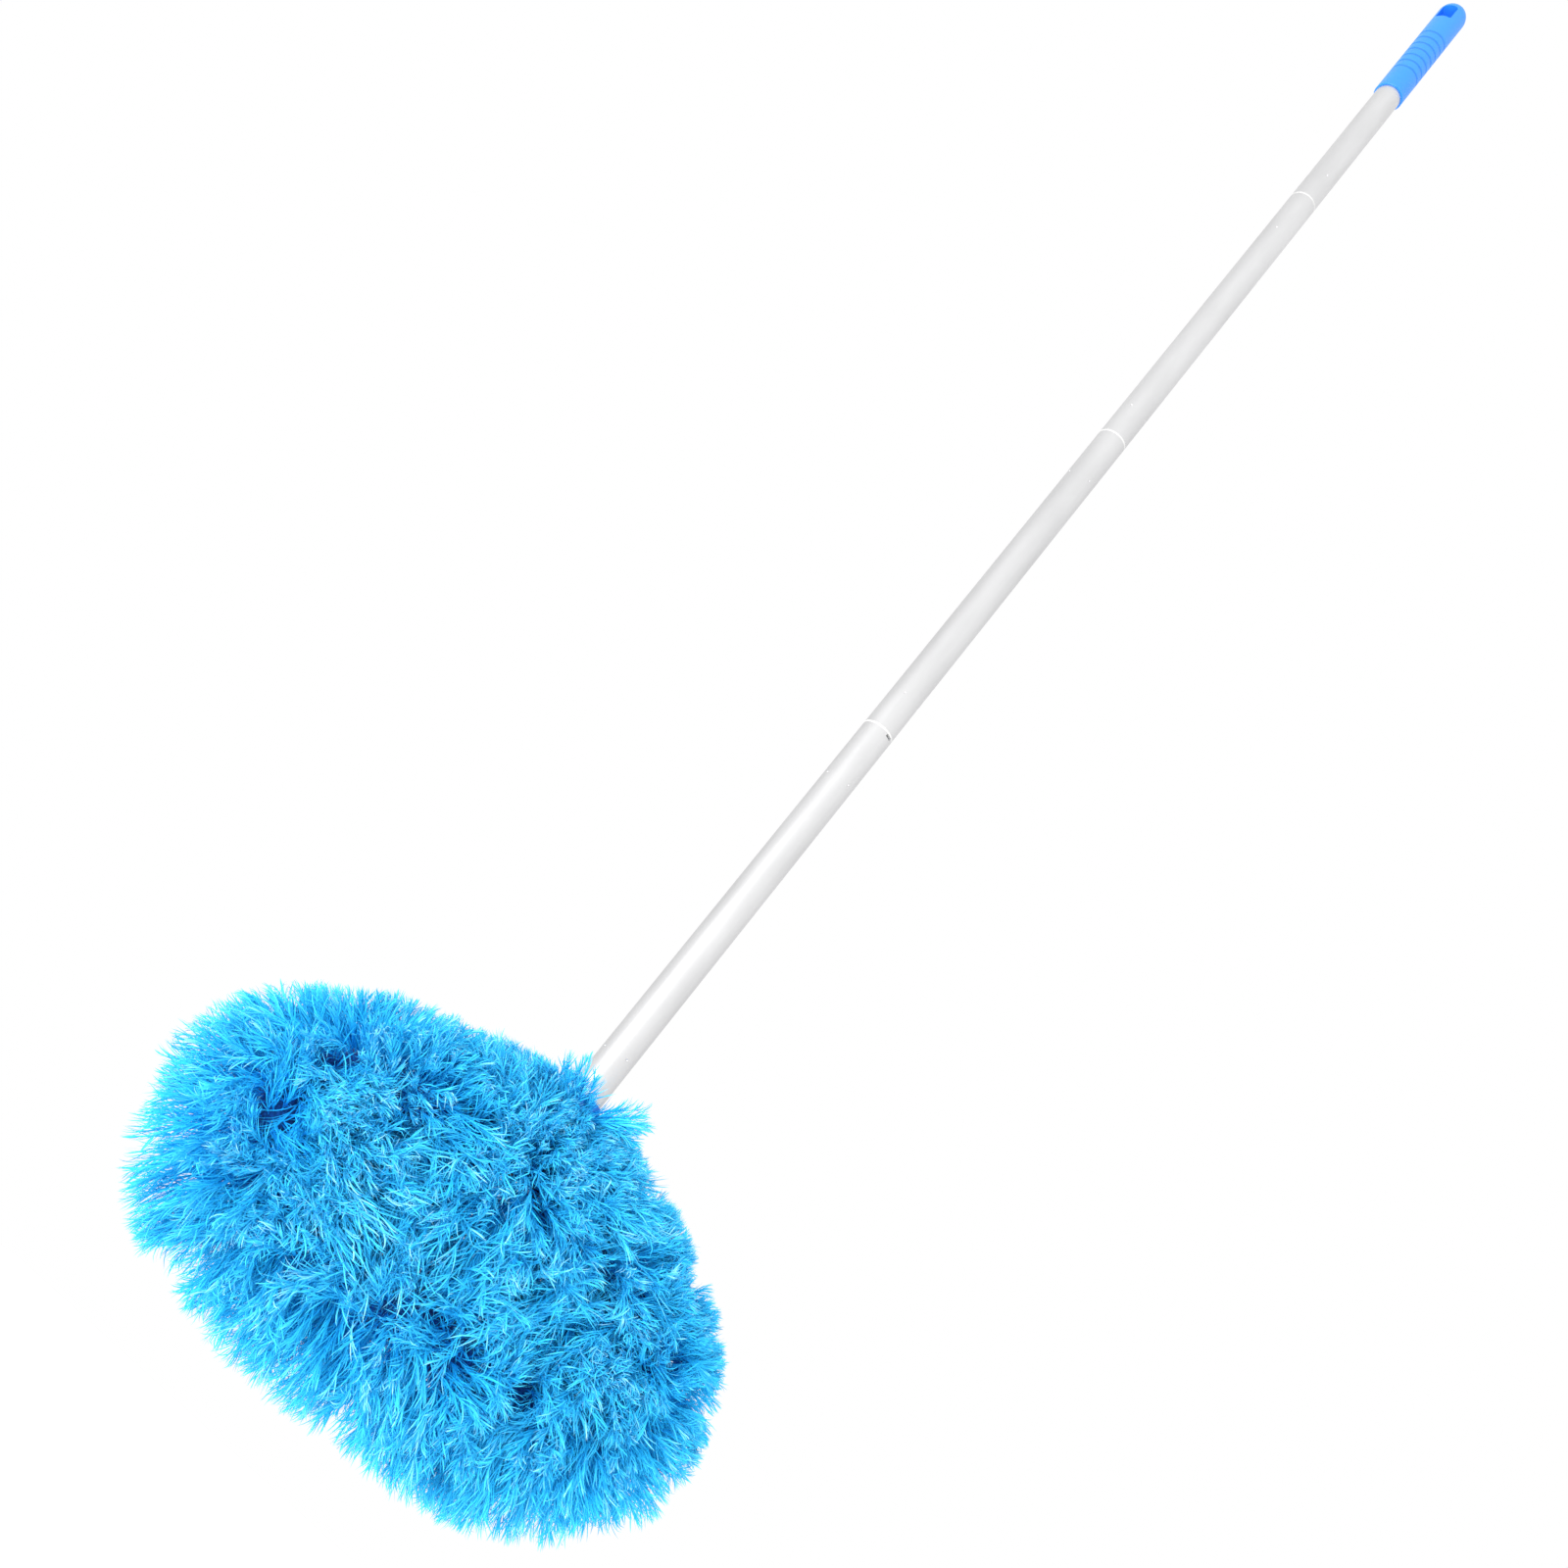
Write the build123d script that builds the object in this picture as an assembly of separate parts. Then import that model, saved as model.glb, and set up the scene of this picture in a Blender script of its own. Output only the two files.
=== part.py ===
from build123d import *
import math
import os

# A fluffy oval duster on a screw-together pole of four tubes.
#
# The frame: +Z runs up the pole, the origin is the centre of the hanging slot in the grip,
# and the slot goes through along Y. The pole hangs down from it, with the head at the bottom.
# All sizes are millimetres. Sections and joints are counted from the head up.

# ---- driving dimensions: pole ----
TUBE_OD = 22.0
TUBE_WALL = 0.8
SECTION_PITCH = 300.0  # from one screw joint to the next
SECTIONS = 4
WASHER_T = 1.2
WASHER_BORE_CLEARANCE = 0.4
FACE_GAP = 0.03  # between faces that turn on each other

# ---- driving dimensions: grip ----
GRIP_OD = 25.0
GRIP_LENGTH = 136.0
SLOT_LENGTH = 17.0  # along the pole
SLOT_WIDTH = 13.0
SLOT_CORNER_R = 2.0
SLOT_CENTRE_BELOW_TIP = 21.0
RIM_BREAK = 0.4
RIM_TO_TOP_JOINT = 157.5  # bare tube between the grip's rim and the top joint
GROOVES = 7
GROOVE_PITCH = 9.0
GROOVE_R = 1.9
GROOVE_DEPTH = 0.5
FIRST_GROOVE = 28.0  # above the rim
TUBE_STOP_BELOW_SLOT = 9.0
TUBE_END_GAP = 0.5  # between the tube's end and the bottom of the grip's bore

# ---- driving dimensions: thread and inserts ----
THREAD_R = 8.0
THREAD_CLEARANCE = 0.05
THREAD_LENGTH = 26.5
THREAD_BORE_DEPTH = 30.0
THREAD_CHAMFER = 1.2
LEAD_IN = 0.5  # depth of the cone at the mouth of a threaded bore
INSERT_CORE_R = 5.5
PLUG_SHANK = 38.0
BUSH_LENGTH = 52.0
INSERT_FIT = 0.02  # radial, inserts in their tubes
STAKE_R = 0.85
STAKE_DEPTH = 0.5
STAKE_ABOVE_END = 29.0  # plug stakes, above a tube's lower end
STAKE_BELOW_END = 46.0  # bush stakes, below a tube's upper end
KEY_NOTCH_WIDTH = 4.7
KEY_NOTCH_HEIGHT = 2.2
KEY_NOTCH_DEPTH = 2.4

# Angles about the pole, in degrees from +X, where each section happens to come home.
PLUG_STAKE_TURN = {1: -27.5, 2: 20.0, 3: 5.0, 4: 40.0}
BUSH_STAKE_TURN = {1: -23.0, 2: -29.0, 3: 11.0}
KEY_NOTCH_TURN = {1: -15.0, 2: 120.0, 3: 200.0}

# ---- driving dimensions: head ----
HEAD_TURN = 47.0  # the head's flat plane against the XZ plane
LOOP_HALF_WIDTH = 126.0
LOOP_HALF_HEIGHT = 44.0
LOOP_END_R = 34.0
LOOP_FLAT = 15.0  # half of the straight run at top and bottom
LOOP_CENTRE_BELOW_JOINT = 105.5
WIRE_R = 2.5
LEG_SPACING = 10.0
LEG_BEND_R = 10.0
LEG_LENGTH = 17.0
NECK_R = 12.0
NECK_LENGTH = 53.0
CUFF_GROOVE_R = 10.9
CUFF_GROOVE_TOP = 8.0  # below the neck's top face
CUFF_HEIGHT = 6.0
CUFF_PLAY = 0.3  # above and below the cuff in its groove
FOAM_R = 14.0
BACKING_R = 15.5
SOFT_GAP = 0.05
SLEEVE_START = 12.6  # where the sleeve's ends butt, each side of the neck
COLLAR_R = 13.4
COLLAR_BELOW_BEND = 2.0  # the collar reaches this far below the wire's bend
PILE_HALF_WIDTH = 196.0
PILE_HALF_HEIGHT = 118.0
PILE_END_R = 100.0
PILE_THICKNESS = 136.0
PILE_ROUND = 60.0
PILE_CENTRE_BELOW_JOINT = 111.0
PILE_NECK_R = 14.2
PILE_HOLE_BELOW_BEND = 3.0

# ---- for cutting ----
OVERCUT = 1.0  # a cutter runs this far past the face that it cuts through
SAME_PLACE = 0.01

# ---- places that follow ----
TUBE_R = TUBE_OD / 2
TUBE_INNER_R = TUBE_R - TUBE_WALL
GRIP_R = GRIP_OD / 2
GRIP_TIP = SLOT_CENTRE_BELOW_TIP
GRIP_RIM = GRIP_TIP - GRIP_LENGTH
TOP_JOINT = GRIP_RIM - RIM_TO_TOP_JOINT
HEAD_JOINT = TOP_JOINT - (SECTIONS - 1) * SECTION_PITCH
TOP_TUBE_END = -SLOT_LENGTH / 2 - TUBE_STOP_BELOW_SLOT
LOOP_CENTRE = HEAD_JOINT - LOOP_CENTRE_BELOW_JOINT
PILE_CENTRE = HEAD_JOINT - PILE_CENTRE_BELOW_JOINT


def joint_z(number):
    """Height of a screw joint: the plane that the washer rests on."""
    return HEAD_JOINT + (number - 1) * SECTION_PITCH


def upright(radius, low, high):
    """A plain cylinder about the pole's axis between two heights."""
    return Pos(0, 0, low) * Cylinder(radius, high - low, align=(Align.CENTER, Align.CENTER, Align.MIN))


def ring(outer, inner, low, high):
    """A plain ring about the pole's axis between two heights."""
    return upright(outer, low, high) - upright(inner, low - OVERCUT, high + OVERCUT)


def stakes(height, turn):
    """Four small balls that mark the wall of a tube where a punch staked it."""
    ball_centre = TUBE_R + STAKE_R - STAKE_DEPTH
    return [
        Rot(0, 0, turn + quarter * 90) * Pos(ball_centre, 0, height) * Sphere(STAKE_R)
        for quarter in range(4)
    ]


def tube_span(number):
    """Lower and upper end of one section's tube."""
    low = joint_z(number) + WASHER_T + 2 * FACE_GAP
    high = TOP_TUBE_END if number == SECTIONS else joint_z(number + 1)
    return low, high


def key_notch(number):
    """The notch in a tube's upper end that the bush's key is turned home with."""
    top = joint_z(number + 1)
    cutter = Box(2 * KEY_NOTCH_DEPTH, KEY_NOTCH_WIDTH, 2 * KEY_NOTCH_HEIGHT)
    return Rot(0, 0, KEY_NOTCH_TURN[number]) * Pos(TUBE_R, 0, top) * cutter


def make_tube(number):
    low, high = tube_span(number)
    tube = ring(TUBE_R, TUBE_INNER_R, low, high)
    tube -= stakes(low + STAKE_ABOVE_END, PLUG_STAKE_TURN[number])
    if number < SECTIONS:
        tube -= stakes(high - STAKE_BELOW_END, BUSH_STAKE_TURN[number])
        tube -= key_notch(number)
    return tube


def make_plug(number):
    """Male insert: a shank in the tube's lower end and a thread that stands out below."""
    tube_end = tube_span(number)[0]
    thread_end = joint_z(number) - THREAD_LENGTH
    plug = upright(TUBE_INNER_R - INSERT_FIT, tube_end, tube_end + PLUG_SHANK)
    plug += upright(THREAD_R, thread_end, tube_end + OVERCUT)
    plug = chamfer(plug.edges().sort_by(Axis.Z)[0], THREAD_CHAMFER)
    return plug - upright(INSERT_CORE_R, thread_end - OVERCUT, tube_end + PLUG_SHANK + OVERCUT)


def threaded_bore(top):
    """The bore that a plug's thread runs in, with a narrower core below it."""
    bore = upright(THREAD_R + THREAD_CLEARANCE, top - THREAD_BORE_DEPTH, top + OVERCUT)
    lead_in = Pos(0, 0, top - LEAD_IN) * Cone(THREAD_R, THREAD_R + 2 * LEAD_IN, 2 * LEAD_IN)
    return bore + lead_in


def make_bush(number):
    """Female insert, flush with the upper end of its tube."""
    top = joint_z(number + 1)
    bush = upright(TUBE_INNER_R - INSERT_FIT, top - BUSH_LENGTH, top)
    bush -= threaded_bore(top)
    bush -= upright(INSERT_CORE_R, top - BUSH_LENGTH - OVERCUT, top)
    return bush - key_notch(number)


def make_washer(number):
    low = joint_z(number) + FACE_GAP
    return ring(TUBE_R, THREAD_R + WASHER_BORE_CLEARANCE, low, low + WASHER_T)


def grip_outline():
    """Half section of the grip's outside: straight wall and a bullet tip."""
    dome_start = GRIP_TIP - GRIP_R
    middle = GRIP_R * math.sqrt(0.5)
    wall = Polyline(
        (0, GRIP_RIM), (GRIP_R - RIM_BREAK, GRIP_RIM), (GRIP_R, GRIP_RIM + RIM_BREAK), (GRIP_R, dome_start)
    )
    dome = ThreePointArc((GRIP_R, dome_start), (middle, dome_start + middle), (0, GRIP_TIP))
    return make_face(Plane.XZ * (wall + dome + Line((0, GRIP_TIP), (0, GRIP_RIM))))


def make_grip():
    grip = revolve(grip_outline(), Axis.Z)
    grip -= upright(TUBE_R + INSERT_FIT, GRIP_RIM - OVERCUT, TOP_TUBE_END + TUBE_END_GAP)
    for count in range(GROOVES):
        height = GRIP_RIM + FIRST_GROOVE + count * GROOVE_PITCH
        grip -= Pos(0, 0, height) * Torus(GRIP_R + GROOVE_R - GROOVE_DEPTH, GROOVE_R)
    slot = Box(SLOT_WIDTH, GRIP_OD + 2 * OVERCUT, SLOT_LENGTH)
    slot = fillet(slot.edges().filter_by(Axis.Y), SLOT_CORNER_R)
    return grip - slot


def oval_run(half_width, half_height, end_r, flat):
    """Right half of an oval in the XZ plane, from top to bottom, as three tangent arcs."""
    end_x = half_width - end_r
    reach = end_x - flat
    side_r = (reach**2 + half_height**2 - end_r**2) / (2 * (half_height - end_r))
    turn = math.degrees(math.atan2(side_r - half_height, reach))
    return [
        CenterArc((flat, half_height - side_r), side_r, 90, turn - 90),
        CenterArc((end_x, 0), end_r, turn, -2 * turn),
        CenterArc((flat, side_r - half_height), side_r, -turn, turn - 90),
    ]


def both_sides(right, middle):
    """One wire from the right-hand run, the bottom run, and the left-hand mirror image."""
    half = Curve() + right
    whole = half + middle + mirror(half, Plane.YZ)
    return Wire((Plane.XZ * whole).edges())


def loop_wire(lead_in):
    """The loop's centreline, with the given edges ahead of the oval at its top right."""
    oval = oval_run(LOOP_HALF_WIDTH, LOOP_HALF_HEIGHT, LOOP_END_R, LOOP_FLAT)
    bottom = Line((LOOP_FLAT, -LOOP_HALF_HEIGHT), (-LOOP_FLAT, -LOOP_HALF_HEIGHT))
    return both_sides(lead_in + oval, [bottom])


def leg_edges():
    """One end of the wire: a straight leg up into the neck and its bend."""
    leg_x = LEG_SPACING / 2
    bend_z = LOOP_HALF_HEIGHT + LEG_BEND_R
    leg = Line((leg_x, bend_z + LEG_LENGTH), (leg_x, bend_z))
    bend = CenterArc((leg_x + LEG_BEND_R, bend_z), LEG_BEND_R, 180, 90)
    return [leg, bend]


def sleeve_edges():
    return [Line((SLEEVE_START, LOOP_HALF_HEIGHT), (LOOP_FLAT, LOOP_HALF_HEIGHT))]


def rod_along(wire, radius):
    start = Plane(origin=wire @ 0, z_dir=wire % 0)
    return sweep(start * Circle(radius), path=wire)


def in_head(shape, centre):
    """Moves a shape built round the loop's or pile's own centre to its place in the head."""
    return Rot(0, 0, HEAD_TURN) * Pos(0, 0, centre) * shape


def make_frame_loop():
    return in_head(rod_along(loop_wire(leg_edges()), WIRE_R), LOOP_CENTRE)


def make_foam_sleeve():
    wire = loop_wire(sleeve_edges())
    sleeve = rod_along(wire, FOAM_R) - rod_along(loop_wire(leg_edges()), WIRE_R + SOFT_GAP)
    return in_head(sleeve, LOOP_CENTRE)


def collar(outer, low, high):
    """A cylinder round the neck, in the loop's own frame."""
    return upright(outer, low - LOOP_CENTRE, high - LOOP_CENTRE)


def neck_bottom():
    return HEAD_JOINT - NECK_LENGTH


def cuff_span():
    high = HEAD_JOINT - CUFF_GROOVE_TOP
    return high - CUFF_HEIGHT, high


def make_cover_backing():
    """The knitted tube over the foam, with its collar up the neck."""
    wire = loop_wire(sleeve_edges())
    low = neck_bottom() - LEG_BEND_R - COLLAR_BELOW_BEND
    high = cuff_span()[0] - SOFT_GAP
    cover = rod_along(wire, BACKING_R) + collar(COLLAR_R, low, high)
    cover -= rod_along(wire, FOAM_R + SOFT_GAP)
    cover -= rod_along(loop_wire(leg_edges()), WIRE_R + SOFT_GAP)
    cover -= collar(NECK_R + SOFT_GAP, low, high + OVERCUT)
    return in_head(cover, LOOP_CENTRE)


def make_neck_cuff():
    low, high = cuff_span()
    return ring(COLLAR_R, CUFF_GROOVE_R + SOFT_GAP, low, high)


def make_neck_socket():
    """The neck: a female thread above and two sockets for the wire's legs below."""
    top = HEAD_JOINT
    low, high = cuff_span()
    neck = upright(NECK_R, neck_bottom(), top)
    neck -= ring(NECK_R + OVERCUT, CUFF_GROOVE_R, low - CUFF_PLAY, high + CUFF_PLAY)
    neck -= threaded_bore(top)
    legs = rod_along(loop_wire(leg_edges()), WIRE_R + INSERT_FIT)
    return neck - in_head(legs, LOOP_CENTRE)


def pile_outline():
    right = oval_run(PILE_HALF_WIDTH, PILE_HALF_HEIGHT, PILE_END_R, 0)
    return make_face(both_sides(right, []))


def make_pile():
    """The mass of strands as one rounded pad, hollow where the covered loop and neck are."""
    pad = extrude(pile_outline(), PILE_THICKNESS / 2, both=True)
    rims = pad.edges().filter_by(lambda edge: abs(abs(edge.center().Y) - PILE_THICKNESS / 2) < SAME_PLACE)
    pad = Pos(0, 0, PILE_CENTRE - LOOP_CENTRE) * fillet(rims, PILE_ROUND)
    pad -= rod_along(loop_wire(sleeve_edges()), BACKING_R + SOFT_GAP)
    hole_bottom = neck_bottom() - LEG_BEND_R - PILE_HOLE_BELOW_BEND
    pad -= collar(PILE_NECK_R, hole_bottom, PILE_CENTRE + PILE_HALF_HEIGHT + OVERCUT)
    return in_head(pad, LOOP_CENTRE)


def all_nodes():
    nodes = {"grip": make_grip()}
    for number in range(1, SECTIONS + 1):
        nodes[f"tube_{number}"] = make_tube(number)
        nodes[f"plug_{number}"] = make_plug(number)
        nodes[f"washer_{number}"] = make_washer(number)
        if number < SECTIONS:
            nodes[f"bush_{number}"] = make_bush(number)
    nodes["neck_socket"] = make_neck_socket()
    nodes["frame_loop"] = make_frame_loop()
    nodes["foam_sleeve"] = make_foam_sleeve()
    nodes["cover_backing"] = make_cover_backing()
    nodes["neck_cuff"] = make_neck_cuff()
    nodes["pile"] = make_pile()
    return nodes


os.makedirs("parts", exist_ok=True)
for name, shape in all_nodes().items():
    export_step(shape, f"parts/{name}.step")
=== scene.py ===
import math

import bpy
import numpy as np
from mathutils import Matrix, Vector


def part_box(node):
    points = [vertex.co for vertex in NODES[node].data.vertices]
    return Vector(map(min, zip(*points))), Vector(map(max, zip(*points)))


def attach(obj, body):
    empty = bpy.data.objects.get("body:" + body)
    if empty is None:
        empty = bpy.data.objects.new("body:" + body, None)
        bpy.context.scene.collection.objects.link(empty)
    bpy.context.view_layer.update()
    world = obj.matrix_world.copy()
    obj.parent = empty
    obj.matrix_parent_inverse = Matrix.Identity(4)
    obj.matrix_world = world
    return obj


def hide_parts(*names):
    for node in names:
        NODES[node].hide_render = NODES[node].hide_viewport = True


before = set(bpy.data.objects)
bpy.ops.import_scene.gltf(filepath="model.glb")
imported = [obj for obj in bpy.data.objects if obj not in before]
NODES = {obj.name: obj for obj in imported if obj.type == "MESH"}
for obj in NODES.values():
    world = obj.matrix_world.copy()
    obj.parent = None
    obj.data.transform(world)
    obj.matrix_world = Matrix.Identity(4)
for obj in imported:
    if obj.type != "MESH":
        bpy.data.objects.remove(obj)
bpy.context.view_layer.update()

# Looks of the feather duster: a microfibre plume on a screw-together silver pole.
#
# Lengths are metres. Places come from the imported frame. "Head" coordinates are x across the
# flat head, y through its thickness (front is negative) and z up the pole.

# ---- head ----
HEAD_TURN = math.radians(47)  # the head's flat plane against the frame's XZ plane, as in the CAD
LOOP_END_R = 0.034
LOOP_FLAT = 0.015

# ---- plume ----
SEED = 41
YARNS = 4300
NECK_YARNS = 980
YARN_LENGTH = 0.049
YARN_SPREAD = 0.09  # random share of a yarn's length
YARN_STEPS = 9
END_DENSITY = 0.9  # extra yarns where they fan out round the loop's ends
OUTSIDE_BIAS = 0.35  # how far the roots crowd to the outside of the sleeve
SCATTER = 0.13  # random part of a yarn's heading, and how much more the inner ones have
INNER_SCATTER = 0.14
BARBS_PER_YARN = 27
BARB_LENGTH = 0.0195
BARB_REACH = 0.0565  # furthest that a barb goes along its yarn, from the backing
BARB_WIDTH = 0.00069
CORE_WIDTH = 0.0010
BARB_STEPS = 5
LEAST_BARB_WIDTH = 0.75  # shares of the barb's width, drawn for each strand
MOST_BARB_WIDTH = 1.2
BARB_TAPER = np.array([0.9, 1.0, 0.95, 0.7, 0.0])
CORE_TAPER = np.linspace(1.0, 0.5, YARN_STEPS)
TONE_SPREAD = 0.16
BARB_CONE = 0.36  # mean angle between a barb and its yarn, and its spread, in radians
BARB_CONE_SPREAD = 0.13
YARN_CURL = 0.48  # curl that all barbs of a yarn share, and each barb's own
BARB_CURL = 0.24
LEAST_GROWTH = 0.55  # shares of its first length between which a yarn may be grown
MOST_GROWTH = 1.35
LEAST_TRIM = 0.45  # and between which it may be trimmed once it lies in its tuft
MOST_TRIM = 1.12
LUMP_LENGTH = 0.047  # along the loop, from one soft lump of the outline to the next
LUMP_SIZE = 0.04
NECK_TUFTS = 60
NECK_ROOT_R = 0.0137
NECK_TOP_BARE = 0.008  # bare neck between the highest yarns and the joint
TUFTS = 460
TUFT_PULL = 0.40
LEAN = 0.0070  # how far a standing lock's tip strays, and what a fallen one adds
FLOP = 0.014
STRAY = 0.0045  # and each yarn by itself
INWARD_SHARE = 0.32  # of the inner yarns, those that stay across the loop's hole
DROOP = 0.08
POLE_CLEAR_R = 0.0123
POLE_CLEAR_DEPTH = 0.012  # strands keep clear from this far below the joint
PLUME_HALF = np.array([0.191, 0.063, 0.114])  # the shape that the strands' tips fill out
PLUME_CENTRE = np.array([-0.005, 0.0, -0.004])
PLUME_ROUNDNESS = 2.2
PLUME_SAG = 0.07  # the ends hang lower by this share of their distance from the middle
PARTING_HALF_LENGTH = 0.078  # the strands part in front of the loop's bars this far from the middle
PITS = np.array([  # small openings between locks: x and z in the head, and radius
    (-0.057, 0.013, 0.011), (-0.012, 0.040, 0.010), (0.034, 0.004, 0.010),
    (0.034, -0.040, 0.009), (0.004, -0.038, 0.012), (0.066, -0.038, 0.013),
])
PIT_OPENING = 0.42  # how much of a pit's radius is cleared at its centre
PIT_RAGGED = 0.30  # how uneven its rim is, as a share of its radius
PIT_DEPTH = 0.02  # strands are pushed in full only this far from the head's middle plane

# ---- grip, threads and covers ----
GROOVES = 7
GROOVE_PITCH = 0.009
GROOVE_LOW = -0.087  # height of the lowest groove's middle
GROOVE_HALF_WIDTH = 0.00135
THREAD_R = 0.008
THREAD_PITCH = 0.005
THREAD_DEPTH = 0.0011
THREAD_CHAMFER = 0.0012
THREAD_ROWS = 110
THREAD_COLUMNS = 72
SHANK_BREAK = 0.0004  # broken edges of a plug's shank
SHANK_GAP = 0.00005  # how far the shank stays inside its CAD radius
THREAD_FOOT = 0.34  # shares of a pitch: half the ridge at its foot, and its rounded flank
THREAD_FLANK = 0.2
FOAM_COLUMNS = 40
FOAM_STEP = 0.004
FOAM_RELIEF = 0.00025
KNIT_RIBS = 30
KNIT_COLUMNS = KNIT_RIBS * 4
KNIT_RELIEF = 0.0002
KNIT_STEP = 0.0035
COLLAR_OUTER_R = 0.0133
COLLAR_INNER_R = 0.0122
COLLAR_START = 0.004  # above the loop's centreline
CUFF_COLUMNS = 160
CUFF_PLEATS = 32
CUFF_RELIEF = 0.0004
CUFF_INNER_R = 0.0111
CUFF_BULGE = [  # share of the hem's height, and its outer radius there
    (0.0, 0.0118),
    (0.12, 0.0126),
    (0.5, 0.0130),
    (0.88, 0.0126),
    (1.0, 0.0118),
]

# ---- camera: a low three-quarter view, rolled so that the pole runs to the upper right ----
CAMERA_AZIMUTH = math.radians(35)
CAMERA_PITCH = math.radians(23.8)
CAMERA_ROLL = math.radians(39.38)
CAMERA_DISTANCE = 1.045
CAMERA_LENS = 38.25
AIM_BELOW_SLOT = 0.9415
AIM_OFFSET = 0.0256  # the pole passes this far to the lower right of the view's centre

# ---- studio ----
TENT_FRONT = 1.36
TENT_BACK = 0.88
KEY_POWER = 42
KEY_SIZE = 1.6
KEY_BACK = 1.7  # from the head: towards the camera, up and to the left of the picture
KEY_UP = 1.1
KEY_LEFT = 0.7
FLOOR_HALF_WIDTH = 6.0
FLOOR_Z = -1.9

GOLDEN = (math.sqrt(5) - 1) / 2  # steps of this share of a turn never line up
UP = np.array([0.0, 0.0, 1.0])
THROUGH = np.array([0.0, 1.0, 0.0])

rng = np.random.default_rng(SEED)


# ---------------------------------------------------------------- places
def node_points(name):
    mesh = NODES[name].data
    points = np.empty(len(mesh.vertices) * 3)
    mesh.vertices.foreach_get("co", points)
    return points.reshape(-1, 3)


HEAD_AXES = np.array([
    [math.cos(HEAD_TURN), math.sin(HEAD_TURN), 0],
    [-math.sin(HEAD_TURN), math.cos(HEAD_TURN), 0],
    [0, 0, 1],
])
foam = node_points("foam_sleeve") @ HEAD_AXES.T
backing = node_points("cover_backing") @ HEAD_AXES.T
FOAM_R = np.ptp(foam[:, 1]) / 2
BACKING_R = np.ptp(backing[:, 1]) / 2
LOOP_HALF_WIDTH = np.ptp(foam[:, 0]) / 2 - FOAM_R
LOOP_HALF_HEIGHT = np.ptp(foam[:, 2]) / 2 - FOAM_R
LOOP_Z = (foam[:, 2].min() + foam[:, 2].max()) / 2
HEAD_JOINT_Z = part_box("neck_socket")[1].z


def to_frame(points):
    """Head coordinates, counted from the loop's centre, to the row frame."""
    shifted = points + np.array([0, 0, LOOP_Z])
    return shifted @ HEAD_AXES


def arc(centre, radius, start, end, count):
    angle = np.linspace(start, end, count)
    return np.stack([centre[0] + radius * np.cos(angle), centre[1] + radius * np.sin(angle)], 1)


def loop_outline():
    """The loop's centreline, from the right of the neck round to its left.

    Gives the positions, the outward normals and the lengths up to them."""
    end_x = LOOP_HALF_WIDTH - LOOP_END_R
    reach = end_x - LOOP_FLAT
    side_r = (reach**2 + LOOP_HALF_HEIGHT**2 - LOOP_END_R**2) / (2 * (LOOP_HALF_HEIGHT - LOOP_END_R))
    drop = side_r - LOOP_HALF_HEIGHT
    turn = math.atan2(drop, reach)
    right = np.concatenate([
        arc((LOOP_FLAT, -drop), side_r, math.pi / 2, turn, 90),
        arc((end_x, 0), LOOP_END_R, turn, -turn, 60)[1:],
        arc((LOOP_FLAT, drop), side_r, -turn, -math.pi / 2, 90)[1:],
    ])
    left = right[::-1] * np.array([-1, 1])
    first = np.array([[backing_start(), LOOP_HALF_HEIGHT]])
    xz = np.concatenate([first, right, left, first * np.array([-1, 1])])
    along = np.gradient(xz, axis=0)
    along /= np.linalg.norm(along, axis=1, keepdims=True)
    outward = np.stack([-along[:, 1], along[:, 0]], 1)
    length = np.concatenate([[0], np.cumsum(np.linalg.norm(np.diff(xz, axis=0), axis=1))])
    return xz, outward, length


def backing_start():
    """Where the covered sleeve starts, to each side of the neck."""
    return np.abs(foam[:, 0]).min()


LOOP_XZ, LOOP_OUT, LOOP_S = loop_outline()
LOOP_LENGTH = LOOP_S[-1]


def on_loop(s):
    """Centreline point and outward normal at length s, in head coordinates."""
    zero = np.zeros_like(s)
    point = np.stack([np.interp(s, LOOP_S, LOOP_XZ[:, 0]), zero, np.interp(s, LOOP_S, LOOP_XZ[:, 1])], -1)
    out = np.stack([np.interp(s, LOOP_S, LOOP_OUT[:, 0]), zero, np.interp(s, LOOP_S, LOOP_OUT[:, 1])], -1)
    return point, unit(out)


def unit(vectors):
    return vectors / np.maximum(np.linalg.norm(vectors, axis=-1, keepdims=True), 1e-12)


# ---------------------------------------------------------------- mesh helpers
def new_piece(name, points, faces, body, material, replaced=()):
    """A smooth mesh piece from frame points and arrays of faces, one array per number of corners."""
    mesh = bpy.data.meshes.new(name)
    mesh.vertices.add(len(points))
    mesh.vertices.foreach_set("co", np.asarray(points, dtype=np.float32).ravel())
    loops = np.concatenate([f.ravel() for f in faces]).astype(np.int32)
    totals = np.concatenate([np.full(len(f), f.shape[1]) for f in faces]).astype(np.int32)
    mesh.loops.add(len(loops))
    mesh.loops.foreach_set("vertex_index", loops)
    mesh.polygons.add(len(totals))
    mesh.polygons.foreach_set("loop_start", np.concatenate([[0], np.cumsum(totals)[:-1]]).astype(np.int32))
    mesh.polygons.foreach_set("use_smooth", np.ones(len(totals), dtype=bool))
    mesh.update(calc_edges=True)
    mesh.materials.append(material)
    piece = bpy.data.objects.new(name, mesh)
    bpy.context.scene.collection.objects.link(piece)
    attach(piece, body)
    for node in replaced:
        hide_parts(node)
    return piece


def grid_faces(rows, columns, closed_rows=False):
    """Quads of a grid that closes round its columns, and round its rows if asked."""
    row = np.arange(rows if closed_rows else rows - 1)
    column = np.arange(columns)
    low, left = np.meshgrid(row, column, indexing="ij")
    high, right = (low + 1) % rows, (left + 1) % columns
    low, high = low * columns, high * columns
    return np.stack([low + left, low + right, high + right, high + left], -1).reshape(-1, 4)


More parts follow.
